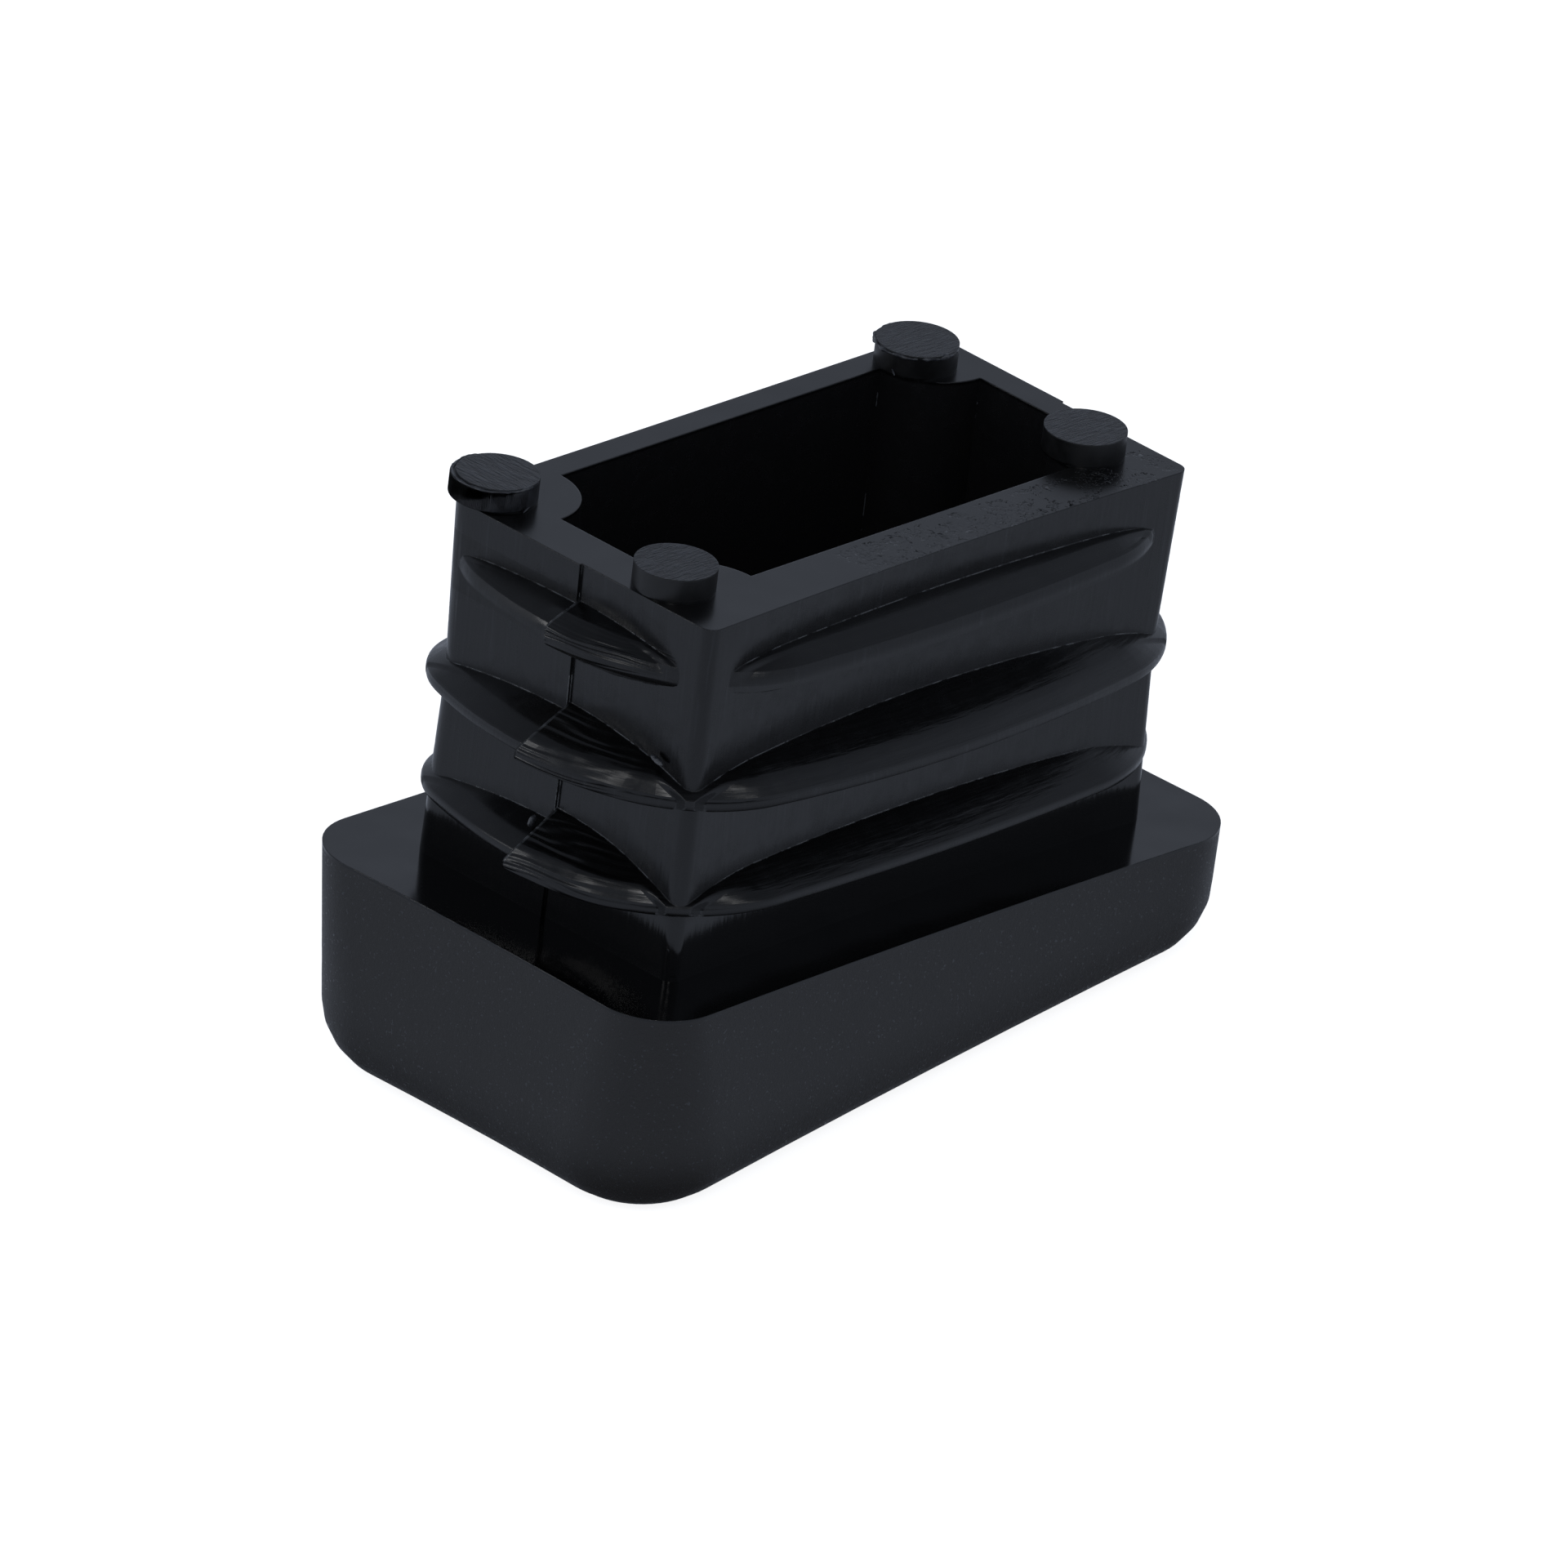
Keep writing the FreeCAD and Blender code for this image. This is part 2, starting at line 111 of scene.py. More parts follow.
# Name, place, half sizes, turn in degrees.
FLASH_BITS = [
    ("chip_on_middle_rib", (-19.9, -7.9, 13.36), (0.2, 0.5, 0.15), (20.0, 0.0, 0.0)),
    ("flash_at_seam", (-20.75, 0.45, 6.1), (0.3, 0.12, 0.4), (0.0, 30.0, 0.0)),
    ("sliver_at_left_peg", (-17.7, 6.48, 22.9), (0.45, 0.06, 0.05), (0.0, 0.0, 20.0)),
    ("sliver_left_of_back_peg", (13.85, 7.7, 23.1), (0.06, 0.35, 0.05), (20.0, 0.0, -30.0)),
    ("sliver_right_of_back_peg", (15.29, 6.11, 22.88), (0.5, 0.06, 0.05), (0.0, 0.0, -25.0)),
    ("tip_of_back_peg", (14.72, 10.15, 23.98), (0.2, 0.2, 0.26), (0.0, 0.0, 45.0)),
]

# Grain of the small pieces' raggedness, how ragged a bit is for its thickness, and how far the sleeve stays
# below the peg's top and is rounded.
BURR_GRAIN = 0.7
BULGE_GRAIN = 1.2
FLASH_GRAIN = 0.2
FLASH_RAGGEDNESS = 0.8
BULGE_BELOW_TOP = 0.1
BULGE_ROUNDING = 0.12

# Corners of the solid's mesh that are nearer to each other than this are made one.
WELD = 0.002

# How high or deep each kind of mark is, in metres.
GRAIN_HEIGHT = 0.000024
COARSE_GRAIN_HEIGHT = 0.00002
STREAK_HEIGHT = 0.000013
CUT_HEIGHT = 0.00004
WAVE_HEIGHT = 0.00004
RIDGE_HEIGHT = 0.000024
PIT_HEIGHT = -0.00015
BRUSH_HEIGHT = 0.0001
TEAR_HEIGHT = 0.00005

# Roughness of small places, and how much is added to the walls' where a surface is dull.
SPECK_ROUGHNESS = 0.2
RIM_ROUGHNESS = 0.24
PEG_TOP_ROUGHNESS = 0.3
TEAR_ROUGHNESS = 0.34
DULLER = 0.2
LEFT_PEG_DULLER = 0.12
PLASTIC_IOR = 1.49

WHITE = (1.0, 1.0, 1.0, 1.0)
SHADED = (0.3, 0.3, 0.3, 1.0)


class CapSettings(PropertyGroup):
    """Sizes and finishes of the moulded cap."""

    slant: FloatProperty(
        name="Slant",
        description="Angle between the plug's axis and the upright",
        default=math.radians(7.7),
        subtype="ANGLE",
    )
    seat_place: FloatVectorProperty(
        name="Seat place",
        description="Point on the tube's seat that the plug's axis passes through",
        default=(0.000527, -0.000012, 0.011099),
        subtype="TRANSLATION",
        size=3,
    )
    smooth_angle: FloatProperty(
        name="Smooth angle",
        description="Edges that turn less than this are shaded smooth",
        default=math.radians(32.0),
        subtype="ANGLE",
    )
    edge_softness: FloatProperty(
        name="Edge softness",
        description="Radius of the moulded edges in the shading",
        default=0.00011,
        unit="LENGTH",
    )
    plastic: FloatVectorProperty(
        name="Plastic",
        description="Colour of the plastic",
        default=(0.0017, 0.0017, 0.0018),
        subtype="COLOR",
        size=3,
    )
    # Painted light: the hollow's colour is paler than the plastic, standing in for the light that reaches
    # into the shaded hollow.
    hollow_painted_light: FloatVectorProperty(
        name="Hollow's plastic",
        description="Colour of the plastic inside the hollow",
        default=(0.008, 0.008, 0.0085),
        subtype="COLOR",
        size=3,
    )
    textured_plastic: FloatVectorProperty(
        name="Textured plastic",
        description="Colour of the plastic on the foot's textured sides",
        default=(0.0062, 0.0061, 0.0065),
        subtype="COLOR",
        size=3,
    )
    # Colour of worn and torn plastic, also used as painted light: a painted reflection on the left peg's side
    # and painted glints at the foot's specks.
    scuffed_and_painted_light: FloatVectorProperty(
        name="Scuffed plastic",
        description="Colour of the plastic where it is rubbed",
        default=(0.017, 0.019, 0.024),
        subtype="COLOR",
        size=3,
    )
    # Colour of torn plastic, also used for the painted highlight lines at creases and the cut edge.
    whitened_and_highlight: FloatVectorProperty(
        name="Whitened plastic",
        description="Colour of the plastic where it is torn or scuffed",
        default=(0.075, 0.08, 0.088),
        subtype="COLOR",
        size=3,
    )
    polish: FloatProperty(
        name="Polish",
        description="Roughness of the seat",
        default=0.12,
        subtype="FACTOR",
    )
    satin: FloatProperty(
        name="Satin",
        description="Roughness of the plug's walls and ribs",
        default=0.23,
        subtype="FACTOR",
    )
    texture_roughness: FloatProperty(
        name="Texture roughness",
        description="Roughness of the foot's textured sides",
        default=0.5,
        subtype="FACTOR",
    )


class StudioSettings(PropertyGroup):
    """Camera, floor and light."""

    camera_place: FloatVectorProperty(
        name="Camera place",
        description="Where the camera stands",
        default=(-1.154203, -1.144792, 1.008789),
        subtype="TRANSLATION",
        size=3,
    )
    azimuth: FloatProperty(
        name="Azimuth",
        description="Camera direction around the cap",
        default=math.radians(-45.26),
        subtype="ANGLE",
    )
    elevation: FloatProperty(
        name="Elevation",
        description="Camera height angle",
        default=math.radians(31.45),
        subtype="ANGLE",
    )
    roll: FloatProperty(
        name="Roll",
        description="Turn of the camera about its view",
        default=math.radians(0.84),
        subtype="ANGLE",
    )
    focal_length: FloatProperty(
        name="Focal length",
        description="Lens, in millimetres, on a 36 mm sensor",
        default=750.0,
    )
    floor_size: FloatProperty(
        name="Floor size",
        description="Side of the floor",
        default=6.0,
        unit="LENGTH",
    )
    room_light: FloatVectorProperty(
        name="Room light",
        description="Colour and strength of the light from the sides of the room",
        default=(0.375, 0.415, 0.50),
        subtype="COLOR",
        size=3,
    )
    light_power: FloatProperty(
        name="Light power",
        description="Power of the strongest soft light",
        default=1.0,
        unit="POWER",
    )
    floor_glow: FloatProperty(
        name="Floor glow",
        description="How much the lit floor shines by itself, as a lit table does",
        default=0.85,
    )


def deselect_all():
    for thing in bpy.context.selected_objects:
        thing.select_set(False)


def make_active(thing):
    deselect_all()
    thing.select_set(True)
    bpy.context.view_layer.objects.active = thing


def plug_turn():
    return Euler((0.0, bpy.context.scene.end_cap.slant, 0.0))


def plug_point(x, y, z):
    """A point of the plug's own frame, in millimetres from the seat, placed in the cap's frame."""
    seat = Vector(bpy.context.scene.end_cap.seat_place)
    return seat + plug_turn().to_matrix() @ Vector((x, y, z)) * MM


class NodeBench:
    """Short calls for laying out a material's nodes."""

    def __init__(self, tree):
        self.tree = tree
        self.tree.nodes.clear()
        self.column = 0

    def add(self, kind, inputs=None, **values):
        node = self.tree.nodes.new(kind)
        node.location = (self.column * 180.0, 0.0)
        self.column += 1
        for name, value in values.items():
            setattr(node, name, value)
        for key, value in (inputs or {}).items():
            if isinstance(value, bpy.types.NodeSocket):
                self.tree.links.new(value, node.inputs[key])
            else:
                node.inputs[key].default_value = value
        return node

    def math(self, operation, first, second=0.5, third=0.5):
        inputs = {0: first, 1: second, 2: third}
        return self.add("ShaderNodeMath", inputs, operation=operation).outputs[0]

    def vector(self, operation, first, second):
        keys = {0: first, ("Scale" if operation == "SCALE" else 1): second}
        return self.add("ShaderNodeVectorMath", keys, operation=operation).outputs[0]

    def measure(self, operation, first, second):
        """A number made of two vectors: their distance or dot product."""
        return self.add("ShaderNodeVectorMath", {0: first, 1: second}, operation=operation).outputs["Value"]

    def ramp(self, value, low, high, to_low=0.0, to_high=1.0):
        keys = {"Value": value, "From Min": low, "From Max": high, "To Min": to_low, "To Max": to_high}
        return self.add("ShaderNodeMapRange", keys, interpolation_type="SMOOTHSTEP").outputs[0]

    def band(self, value, low, high, soft):
        """1 between low and high, fading to 0 over soft on each side."""
        rise = self.ramp(value, low - soft, low)
        return self.math("MULTIPLY", rise, self.ramp(value, high + soft, high))

    def both(self, *masks):
        """The product of masks and heights."""
        result = masks[0]
        for mask in masks[1:]:
            result = self.math("MULTIPLY", result, mask)
        return result

    def total(self, *heights):
        result = heights[0]
        for height in heights[1:]:
            result = self.math("ADD", result, height)
        return result

    def inverse(self, mask):
        return self.math("SUBTRACT", 1.0, mask)

    def mix(self, factor, first, second):
        """Two numbers mixed."""
        return self.add("ShaderNodeMix", {0: factor, 2: first, 3: second}, data_type="FLOAT").outputs[0]

    def bend(self, factor, first, second):
        """Two directions mixed."""
        return self.add("ShaderNodeMix", {0: factor, 4: first, 5: second}, data_type="VECTOR").outputs[1]

    def blend(self, factor, first, second):
        """Two colours mixed."""
        return self.add("ShaderNodeMix", {0: factor, 6: first, 7: second}, data_type="RGBA").outputs[2]

    def noise(self, place, scale, detail=2.0, roughness=0.5, distortion=0.0):
        keys = {
            "Vector": place,
            "Scale": scale,
            "Detail": detail,
            "Roughness": roughness,
            "Distortion": distortion,
        }
        return self.add("ShaderNodeTexNoise", keys).outputs[0]

    def stretched_noise(self, place, stretch, detail, roughness):
        """Noise drawn out along some axes, by a scale for each."""
        return self.noise(self.vector("MULTIPLY", place, stretch), 1.0, detail, roughness)


class CapBench(NodeBench):
    """A bench for the cap's plastic, with the plug's own coordinates laid out."""

    def __init__(self, material):
        material.use_nodes = True
        super().__init__(material.node_tree)
        self.cap = bpy.context.scene.end_cap
        self.place = self.add("ShaderNodeTexCoord").outputs["Object"]
        seat = Vector(self.cap.seat_place)
        keys = {"Vector": self.place, "Center": seat, "Angle": -self.cap.slant}
        turned = self.add("ShaderNodeVectorRotate", keys, rotation_type="Y_AXIS").outputs[0]
        self.plug = self.vector("SCALE", self.vector("SUBTRACT", turned, seat), 1.0 / MM)

    def bump(self, height, **keys):
        inputs = {"Height": height, "Strength": 1.0, "Distance": 1.0, **keys}
        return self.add("ShaderNodeBump", inputs).outputs[0]

    def plastic(self, color, roughness, normal, **keys):
        """End the material with the plastic's shader."""
        inputs = {"Base Color": color, "Roughness": roughness, "Normal": normal, "IOR": PLASTIC_IOR, **keys}
        shader = self.add("ShaderNodeBsdfPrincipled", inputs)
        self.add("ShaderNodeOutputMaterial", {"Surface": shader.outputs[0]})


class MouldedBench(CapBench):
    """The moulded cap's surface. Every zone and mark is a mask from 0 to 1 or a height in metres."""

    def __init__(self, material):
        super().__init__(material)
        self.x, self.y, self.z = self.add("ShaderNodeSeparateXYZ", {0: self.plug}).outputs
        self.normal = self.add("ShaderNodeNewGeometry").outputs["Normal"]
        axis = Vector((math.sin(self.cap.slant), 0.0, math.cos(self.cap.slant)))
        self.facing = self.measure("DOT_PRODUCT", self.normal, axis)
        self.level = self.ramp(self.facing, 0.97, 0.995)
        self.upright = self.ramp(self.math("ABSOLUTE", self.facing), 0.35, 0.2)

        self.foot = self.ramp(self.z, -0.08, -0.3)
        self.front_half = self.ramp(self.y, -0.2, -0.4)
        self.short_face = self.ramp(self.x, -19.6, -19.9)
        self.below_rim = self.ramp(self.z, RIM + 0.1, RIM - 0.1)
        self.rim = self.both(self.level, self.band(self.z, RIM - 0.1, RIM + 0.15, 0.05))
        self.ramp_face = self.both(
            self.band(self.facing, 0.25, 0.99, 0.1),
            self.ramp(self.z, 0.3, 1.0),
            self.ramp(self.z, RIM - 0.4, RIM - 0.8),
        )
        self.hollow = self.both(
            self.band(self.x, -16.9, 18.3, 0.1),
            self.band(self.y, -7.0, 8.95, 0.1),
            self.ramp(self.z, RIM - 0.1, RIM - 0.3),
        )
        self.peg_top = self.both(self.level, self.ramp(self.z, PEG_TOP - 0.2, PEG_TOP - 0.1))
        self.peg_side = self.both(self.ramp(self.z, RIM + 0.05, RIM + 0.15), self.inverse(self.level))
        self.left_peg = self.both(self.ramp(self.x, -10.0, -11.0), self.ramp(self.y, 3.0, 4.0))

        self.specks = self.ramp(self.noise(self.plug, 6.0, 0.0), 0.72, 0.78)
        self.streaks = self.stretched_noise(self.plug, (3.2, 3.2, 0.12), 3.0, 0.6)
        self.pits = self.pits_of_rim()
        self.brush = self.mix(
            self.left_peg,
            self.stretched_noise(self.plug, (1.1, 6.0, 1.0), 4.0, 0.65),
            self.stretched_noise(self.plug, (5.0, 1.0, 1.0), 4.0, 0.65),
        )
        self.mottle = self.noise(self.plug, 0.9, 4.0, 0.6)
        self.eased = self.add("ShaderNodeBevel", {"Radius": self.cap.edge_softness}, samples=6).outputs[0]

    def pits_of_rim(self):
        """Pits of the worn mould along the rim's front side."""
        row = self.both(self.band(self.x, -5.0, 18.0, 1.5), self.band(self.y, -10.6, -7.6, 0.3))
        patches = self.ramp(self.noise(self.plug, 0.6, 1.0), 0.42, 0.55)
        spots = self.ramp(self.noise(self.plug, 3.2, 1.5, 0.5, 1.2), 0.54, 0.62)
        return self.both(self.rim, row, patches, spots)

    def foot_grain(self):
        """The foot's sides are spark-eroded."""
        grain = self.math("MULTIPLY", self.noise(self.plug, 5.0, 3.0, 0.7), GRAIN_HEIGHT)
        coarse = self.math("MULTIPLY", self.noise(self.plug, 1.6, 2.0, 0.5), COARSE_GRAIN_HEIGHT)
        return self.both(self.foot, self.total(grain, coarse))

    def drag_marks(self):
        """Marks along the plug's axis, from where it left the mould."""
        height = self.math("MULTIPLY", self.streaks, STREAK_HEIGHT)
        return self.both(self.upright, self.ramp(self.z, 0.0, 1.0), self.below_rim, height)

    def cutter_marks(self):
        """Marks of the mould's cutter along the front half's ramps, faint on the upper rib."""
        noise = self.stretched_noise(self.plug, (0.22, 0.22, 4.5), 3.0, 0.55)
        fading = self.ramp(self.z, 17.0, 16.0, 0.3, 1.0)
        return self.both(self.ramp_face, self.front_half, fading, self.math("MULTIPLY", noise, CUT_HEIGHT))

    def shrink_waves(self):
        """Slow waves of the shrunk walls."""
        return self.math("MULTIPLY", self.noise(self.plug, 0.22, 1.0, 0.4), WAVE_HEIGHT)

    def cutter_ridges(self):
        """Ridges along the front half's ramps on the short side, dying out towards the corner."""
        wander = self.stretched_noise(self.plug, (0.25, 0.12, 0.9), 1.0, 0.5)
        fan = self.math("MULTIPLY_ADD", wander, 1.6, self.z)
        slanted = self.math("MULTIPLY_ADD", self.y, 0.035, fan)
        waves = self.math("SINE", self.math("MULTIPLY", slanted, 19.0))
        ramps = self.total(*(self.band(self.z, low, high, 0.2) for low, high in RIDGED_RAMPS))
        fading = self.ramp(self.y, -9.5, -3.0)
        height = self.math("MULTIPLY", waves, RIDGE_HEIGHT)
        return self.both(self.short_face, self.front_half, ramps, fading, height)

    def nose_rolls(self):
        """The ribs' noses are rolled rounder than their edges."""
        beyond_end = self.math("SUBTRACT", self.math("ABSOLUTE", self.x), WALL_END)
        beyond_side = self.math("SUBTRACT", self.math("ABSOLUTE", self.y), WALL_SIDE)
        standing = self.ramp(self.math("MAXIMUM", beyond_end, beyond_side), 0.1, 0.6)
        along = self.ramp(self.x, -19.0, -13.0)
        rolls = [
            self.both(
                self.ramp(self.z, start, whole),
                self.ramp(self.z, end, last),
                self.mix(along, -depth, -depth * share),
                MM,
            )
            for start, whole, last, end, depth, share in NOSE_ROLLS
        ]
        return self.both(standing, self.mix(self.front_half, 0.3, 1.0), self.total(*rolls))

    def relief(self):
        """The height of all marks."""
        return self.total(
            self.foot_grain(),
            self.drag_marks(),
            self.cutter_marks(),
            self.shrink_waves(),
            self.cutter_ridges(),
            self.nose_rolls(),
            self.math("MULTIPLY", self.pits, PIT_HEIGHT),
            self.both(self.peg_top, self.math("MULTIPLY", self.brush, BRUSH_HEIGHT)),
        )

    def roughness(self):
        """Polished seat, satin walls, duller peg sides and faint rib, rough foot."""
        satin = self.ramp(self.mottle, 0.3, 0.75, self.cap.satin - 0.05, self.cap.satin + 0.08)
        polish = self.mix(self.ramp(self.z, 3.4, 4.2), self.cap.polish, satin)
        upper_rib = self.band(self.z, 17.2, 20.8, 0.2)
        faint_rib = self.both(upper_rib, self.ramp(self.y, 0.2, 1.2), self.short_face)
        dull = self.total(
            self.both(self.peg_side, DULLER),
            self.both(faint_rib, DULLER),
            self.both(self.peg_side, self.left_peg, LEFT_PEG_DULLER),
        )
        rim = self.mix(self.rim, self.total(polish, dull), RIM_ROUGHNESS)
        worn = self.mix(self.peg_top, rim, PEG_TOP_ROUGHNESS)
        return self.mix(self.foot, worn, self.mix(self.specks, self.cap.texture_roughness, SPECK_ROUGHNESS))

    def softened_normal(self):
        """Edges are softened, but not at the plug's and the pegs' feet, and only in places below the rim."""
        inside = self.both(self.band(self.x, -21.0, 21.0, 0.3), self.band(self.y, -11.8, 11.8, 0.3))
        plug_root = self.both(inside, self.band(self.z, -1.0, 0.6, 0.1))
        places = self.ramp(self.noise(self.plug, 0.8, 3.0, 0.6), 0.35, 0.6)
        broken = self.mix(self.ramp(self.z, RIM - 0.6, RIM - 0.4), places, 1.0)
        feet = [self.ramp(self.measure("DISTANCE", self.plug, middle), 2.9, 2.72) for middle in PEG_FEET]
        kept = self.math("MINIMUM", 1.0, self.total(plug_root, *feet))
        ease = self.both(self.mix(self.foot, broken, 1.0), self.inverse(kept))
        return self.bend(ease, self.normal, self.eased)

    def flattened_normal(self, normal):
        """The upper rib's underside runs out into the wall, on the long side and the short side's back."""
        slant = self.cap.slant
        under = self.both(self.ramp(self.facing, -0.03, -0.2), self.band(self.z, 16.6, 18.9, 0.1))
        long_side = self.both(self.ramp(self.y, -10.6, -10.7), self.ramp(self.x, -19.7, -19.5))
        normal = self.bend(self.both(under, long_side), normal, (0.0, -1.0, 0.0))
        back_half = self.both(under, self.short_face, self.ramp(self.y, -0.3, 0.3))
        return self.bend(back_half, normal, (-math.cos(slant), 0.0, math.sin(slant)))

    def painted_highlight_lines(self):
        """Painted highlights: creases above the ramps and the front half's cut edge are painted paler, here
        and there.
        """
        turn = self.measure("DOT_PRODUCT", self.normal, self.eased)
        scattered = self.ramp(self.noise(self.plug, 1.1, 3.0, 0.6), 0.48, 0.56)
        above_noses = self.total(
            self.band(self.z, 12.5, 15.5, 0.2),
            self.band(self.z, 5.6, 8.6, 0.2),
            self.band(self.z, 19.9, 21.2, 0.1),
        )
        crease = self.both(self.ramp(turn, 0.99, 0.95), above_noses, scattered)
        edge = self.band(self.y, -0.46, -0.34, 0.03)
        cut_edge = self.both(self.ramp_face, self.short_face, edge, self.ramp(scattered, 0.0, 0.5, 0.4, 1.0))
        return self.total(crease, self.both(cut_edge, 0.5))

    def color(self):
        """Black, paler where it is worn on the peg tops, along drag marks and at the rim's pits, and with
        painted light: a paler hollow, a painted reflection on the left peg's side, painted glints at the
        foot's specks and painted highlight lines at creases and the cut edge.
        """
        cap = self.cap
        dragged = self.ramp(self.streaks, 0.56, 0.75, 0.0, 0.25)
        scuffed_and_painted_light = self.total(
            self.both(self.peg_top, self.ramp(self.brush, 0.46, 0.6)),
            self.both(self.upright, self.ramp(self.z, 4.0, 9.0), self.below_rim, dragged),
            # Painted reflection: the left peg's side is painted paler in patches, as if it caught light from
            # the left.
            self.both(self.peg_side, self.left_peg, self.ramp(self.mottle, 0.35, 0.6, 0.3, 0.9)),
            # Painted glints: the foot's specks are painted paler, beside their real lower roughness.
            self.both(self.foot, self.specks, 0.8),
            self.both(self.pits, 0.2),
        )
        # Painted light: inside the hollow the plastic is painted paler where it lies in shade.
        plain = self.blend(self.hollow, (*cap.plastic, 1.0), (*cap.hollow_painted_light, 1.0))
        rubbed_and_painted_light = self.blend(self.both(scuffed_and_painted_light, self.inverse(self.hollow)), plain, (*cap.scuffed_and_painted_light, 1.0))
        # Painted highlight lines at the creases and the cut edge.
        lined = self.blend(self.painted_highlight_lines(), rubbed_and_painted_light, (*cap.whitened_and_highlight, 1.0))
        textured = self.both(self.foot, self.inverse(self.specks))
        return self.blend(textured, lined, (*cap.textured_plastic, 1.0))

    def painted_shade_tint(self):
        """Painted shade on the reflections: darker on the foot's sides near the floor, where less light
        reaches, and on the front peg's top.
        """
        height = self.add("ShaderNodeSeparateXYZ", {0: self.place}).outputs[2]
        low = self.both(self.foot, self.ramp(height, 0.0065, 0.0005))
        # Painted shade: the front peg's top is given darker reflections than the others.
        front_peg_shade = self.both(self.peg_top, self.ramp(self.x, -14.0, -15.0), self.ramp(self.y, 0.0, -1.0))
        return self.blend(self.total(low, self.both(front_peg_shade, 0.5)), WHITE, SHADED)


def moulded_plastic(name):
    """Black plastic: textured on the foot's sides, polished at the seat, marked by the mould and by wear,
    with painted light and shade in places.
    """
    material = bpy.data.materials.new(name)
    bench = MouldedBench(material)
    normal = bench.flattened_normal(bench.softened_normal())
    bumped = bench.bump(bench.relief(), Normal=normal)
    # The reflections' colour carries painted shade.
    bench.plastic(bench.color(), bench.roughness(), bumped, **{"Specular Tint": bench.painted_shade_tint()})
    return material


def torn_plastic(name):
    """The same plastic where it is torn: paler and dull."""
    material = bpy.data.materials.new(name)
    bench = CapBench(material)
    cap = bench.cap
    patches = bench.ramp(bench.noise(bench.plug, 1.6, 3.0, 0.6), 0.4, 0.65)
    color = bench.blend(patches, (*cap.scuffed_and_painted_light, 1.0), (*cap.whitened_and_highlight, 1.0))
    height = bench.math("MULTIPLY", bench.noise(bench.plug, 5.0, 4.0, 0.6), TEAR_HEIGHT)
    bench.plastic(color, TEAR_ROUGHNESS, bench.bump(height))
    return material


def roughen(piece, name, size, strength):
    """Displace the piece's surface by soft noise of the given grain size."""
    make_active(piece)
    noise = bpy.data.textures.new(name, "CLOUDS")
    noise.noise_scale = size
    noise.noise_depth = 2
    bpy.ops.object.modifier_add(type="DISPLACE")
    modifier = piece.modifiers[-1]
    modifier.texture = noise
    modifier.strength = strength
    modifier.mid_level = 0.5
    bpy.ops.object.modifier_apply(modifier=modifier.name)


def finish_piece(piece, name, material):
    """Apply the piece's place, shade it smooth and let it ride on the cap."""
    piece.name = name
    make_active(piece)
    bpy.ops.object.transform_apply(location=True, rotation=True, scale=True)
    bpy.ops.object.shade_smooth()
    piece.data.materials.append(material)
    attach(piece, "root")


class ENDCAP_OT_moulding(Operator):
    """Make the moulded cap with clean edges and its plastic"""

    bl_idname = "endcap.moulding"
    bl_label = "Moulded cap"

    def execute(self, context):
        cap = context.scene.end_cap
        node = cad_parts[CAP_NODE]
        moulding = bpy.data.objects.new("cap_moulding", node.data.copy())
        context.scene.collection.objects.link(moulding)
        make_active(moulding)
        bpy.ops.object.mode_set(mode="EDIT")
        bpy.ops.mesh.select_all(action="SELECT")
        bpy.ops.mesh.remove_doubles(threshold=WELD * MM)
        bpy.ops.mesh.normals_make_consistent(inside=False)
        bpy.ops.object.mode_set(mode="OBJECT")
        bpy.ops.mesh.customdata_custom_splitnormals_clear()
        bpy.ops.object.shade_smooth_by_angle(angle=cap.smooth_angle)
        moulding.data.materials.clear()
        moulding.data.materials.append(moulded_plastic("moulded_black_plastic"))
        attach(moulding, "root")
        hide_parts(CAP_NODE)
        return {"FINISHED"}


class ENDCAP_OT_peg_burrs(Operator):
    """Put the ragged lips and the squeezed sleeve on the pegs that were cut off their runners"""

    bl_idname = "endcap.peg_burrs"
    bl_label = "Peg burrs"

    def execute(self, context):
        material = torn_plastic("torn_black_plastic")
        for name, (x, y), radius, lip, raggedness in PEG_BURRS:
            deselect_all()
            bpy.ops.mesh.primitive_torus_add(
                location=plug_point(x, y, PEG_TOP - 1.5 * lip),
                rotation=plug_turn(),
                major_radius=(radius - lip) * MM,
                minor_radius=lip * MM,
                major_segments=160,
                minor_segments=10,
            )
            burr = context.object
            roughen(burr, name + "_noise", BURR_GRAIN * MM, raggedness * MM)
            finish_piece(burr, name, material)
        plastic = bpy.data.materials["moulded_black_plastic"]
        for name, (x, y), radius, height, unevenness in PEG_BULGES:
            deselect_all()
            bpy.ops.mesh.primitive_cylinder_add(
                location=plug_point(x, y, PEG_TOP - BULGE_BELOW_TOP - height / 2),
                rotation=plug_turn(),
                vertices=192,
                radius=radius * MM,
                depth=height * MM,
            )
            bulge = context.object
            bpy.ops.object.mode_set(mode="EDIT")
            bpy.ops.mesh.select_all(action="DESELECT")
            bpy.ops.mesh.edges_select_sharp(sharpness=math.radians(30))
            bpy.ops.mesh.bevel(offset=BULGE_ROUNDING * MM, segments=8)
            bpy.ops.object.mode_set(mode="OBJECT")
            roughen(bulge, name + "_noise", BULGE_GRAIN * MM, unevenness * MM)
            finish_piece(bulge, name, plastic)
        return {"FINISHED"}


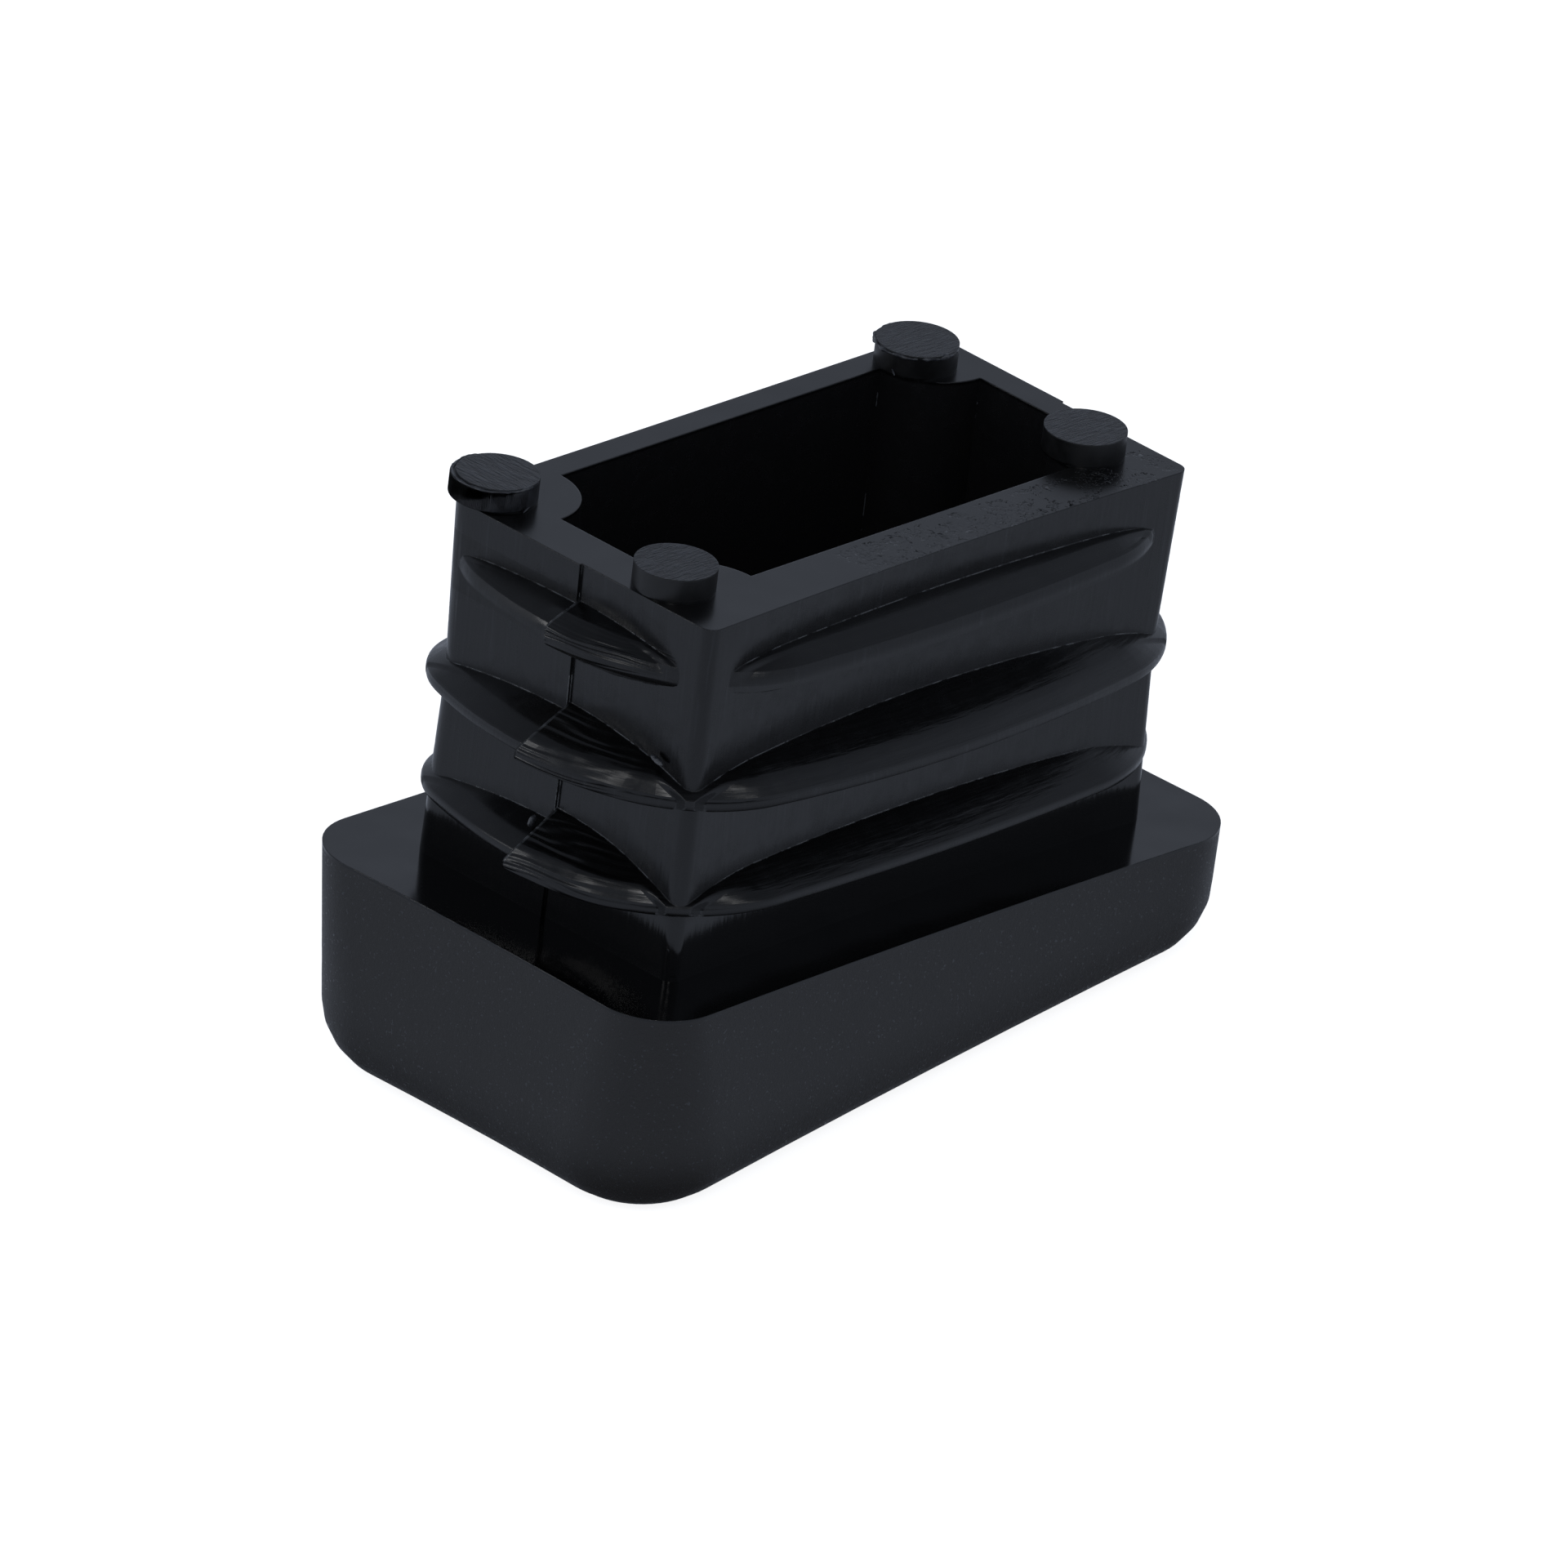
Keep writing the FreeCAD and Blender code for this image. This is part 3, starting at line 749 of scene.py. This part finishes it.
class ENDCAP_OT_flash(Operator):
    """Leave the small chips and slivers of flash on the plug"""

    bl_idname = "endcap.flash"
    bl_label = "Flash and chips"

    def execute(self, context):
        material = torn_plastic("flash_plastic")
        for name, place, size, turn in FLASH_BITS:
            deselect_all()
            bpy.ops.mesh.primitive_ico_sphere_add(subdivisions=4, radius=1.0, location=plug_point(*place))
            bit = context.object
            bit.rotation_euler = [math.radians(angle) for angle in turn]
            bit.scale = [length * MM for length in size]
            bpy.ops.object.transform_apply(location=False, rotation=True, scale=True)
            roughen(bit, name + "_noise", FLASH_GRAIN * MM, FLASH_RAGGEDNESS * min(size) * MM)
            finish_piece(bit, name, material)
        return {"FINISHED"}


def studio_floor(name):
    """A matt white floor that also shines a little by itself."""
    studio = bpy.context.scene.end_cap_studio
    material = bpy.data.materials.new(name)
    material.use_nodes = True
    bench = NodeBench(material.node_tree)
    keys = {
        "Base Color": (0.9, 0.9, 0.9, 1.0),
        "Roughness": 0.9,
        "Specular IOR Level": 0.1,
        "Emission Color": (1.0, 1.0, 1.0, 1.0),
        "Emission Strength": studio.floor_glow,
    }
    shader = bench.add("ShaderNodeBsdfPrincipled", keys)
    bench.add("ShaderNodeOutputMaterial", {"Surface": shader.outputs[0]})
    return material


def soft_light(name, place, size, power):
    """A square light that looks at the cap's middle and isn't seen by the camera."""
    light = bpy.data.lights.new(name, "AREA")
    light.shape = "SQUARE"
    light.size = size
    light.energy = power
    lamp = bpy.data.objects.new(name, light)
    bpy.context.scene.collection.objects.link(lamp)
    lamp.location = place
    lamp.rotation_euler = (Vector(place) - Vector(CAP_MIDDLE)).to_track_quat("Z", "Y").to_euler()
    lamp.visible_camera = False


def white_room(name):
    """Light from all round: brightest at the sides, darker overhead and darkest from below."""
    world = bpy.data.worlds.new(name)
    world.use_nodes = True
    bench = NodeBench(world.node_tree)
    direction = bench.add("ShaderNodeTexCoord").outputs["Generated"]
    rise = bench.add("ShaderNodeSeparateXYZ", {0: direction}).outputs["Z"]
    curve = bench.add("ShaderNodeValToRGB", {0: bench.math("MULTIPLY_ADD", rise, 0.5, 0.5)})
    stops = curve.color_ramp.elements
    for _ in range(len(ROOM_LEVELS) - len(stops)):
        stops.new(0.5)
    for stop, (height, level) in zip(stops, ROOM_LEVELS):
        stop.position = height * 0.5 + 0.5
        stop.color = (level, level, level, 1.0)
    keys = {"Color": (*bpy.context.scene.end_cap_studio.room_light, 1.0), "Strength": curve.outputs[0]}
    room = bench.add("ShaderNodeBackground", keys)
    bench.add("ShaderNodeOutputWorld", {"Surface": room.outputs[0]})
    return world


def photo_camera(scene):
    """The camera at the photograph's angle, turned a little about its view as the photograph is."""
    studio = scene.end_cap_studio
    azimuth, elevation, roll = studio.azimuth, studio.elevation, studio.roll
    back = Vector((
        math.sin(azimuth) * math.cos(elevation),
        -math.cos(azimuth) * math.cos(elevation),
        math.sin(elevation),
    ))
    level_right = Vector((math.cos(azimuth), math.sin(azimuth), 0.0))
    level_up = back.cross(level_right)
    right = math.cos(roll) * level_right + math.sin(roll) * level_up
    up = math.cos(roll) * level_up - math.sin(roll) * level_right
    lens = bpy.data.cameras.new("photo_camera")
    lens.lens = studio.focal_length
    lens.sensor_width = SENSOR_WIDTH
    camera = bpy.data.objects.new("photo_camera", lens)
    scene.collection.objects.link(camera)
    turn = Matrix((right, up, back)).transposed().to_4x4()
    camera.matrix_world = Matrix.Translation(Vector(studio.camera_place)) @ turn
    scene.camera = camera


class ENDCAP_OT_studio(Operator):
    """Set the cap on a pale floor with soft light and the photograph's view"""

    bl_idname = "endcap.studio"
    bl_label = "Studio"

    def execute(self, context):
        scene = context.scene
        studio = scene.end_cap_studio
        deselect_all()
        bpy.ops.mesh.primitive_plane_add(size=studio.floor_size)
        floor = context.object
        floor.name = "studio_floor"
        floor.data.materials.append(studio_floor("pale_floor"))
        floor.visible_glossy = False
        scene.world = white_room("white_room")
        for name, place, size, share in SOFT_LIGHTS:
            soft_light(name, place, size, studio.light_power * share)
        photo_camera(scene)
        scene.view_settings.view_transform = "Standard"
        return {"FINISHED"}


class ENDCAP_PT_panel(Panel):
    """Sizes, finishes and pieces of the end cap"""

    bl_label = "End Cap"
    bl_idname = "ENDCAP_PT_panel"
    bl_space_type = "VIEW_3D"
    bl_region_type = "UI"
    bl_category = "End Cap"

    def draw(self, context):
        for settings in (context.scene.end_cap, context.scene.end_cap_studio):
            column = self.layout.column()
            for name in settings.__annotations__:
                column.prop(settings, name)
        for operator in PIECES:
            self.layout.operator(operator.bl_idname)


PIECES = (ENDCAP_OT_moulding, ENDCAP_OT_peg_burrs, ENDCAP_OT_flash, ENDCAP_OT_studio)
CLASSES = (CapSettings, StudioSettings, *PIECES, ENDCAP_PT_panel)


def register():
    for cls in CLASSES:
        bpy.utils.register_class(cls)
    bpy.types.Scene.end_cap = PointerProperty(type=CapSettings)
    bpy.types.Scene.end_cap_studio = PointerProperty(type=StudioSettings)


def unregister():
    del bpy.types.Scene.end_cap_studio
    del bpy.types.Scene.end_cap
    for cls in reversed(CLASSES):
        bpy.utils.unregister_class(cls)


def main():
    register()
    bpy.ops.endcap.moulding()
    bpy.ops.endcap.peg_burrs()
    bpy.ops.endcap.flash()
    bpy.ops.endcap.studio()


if __name__ == "__main__":
    main()
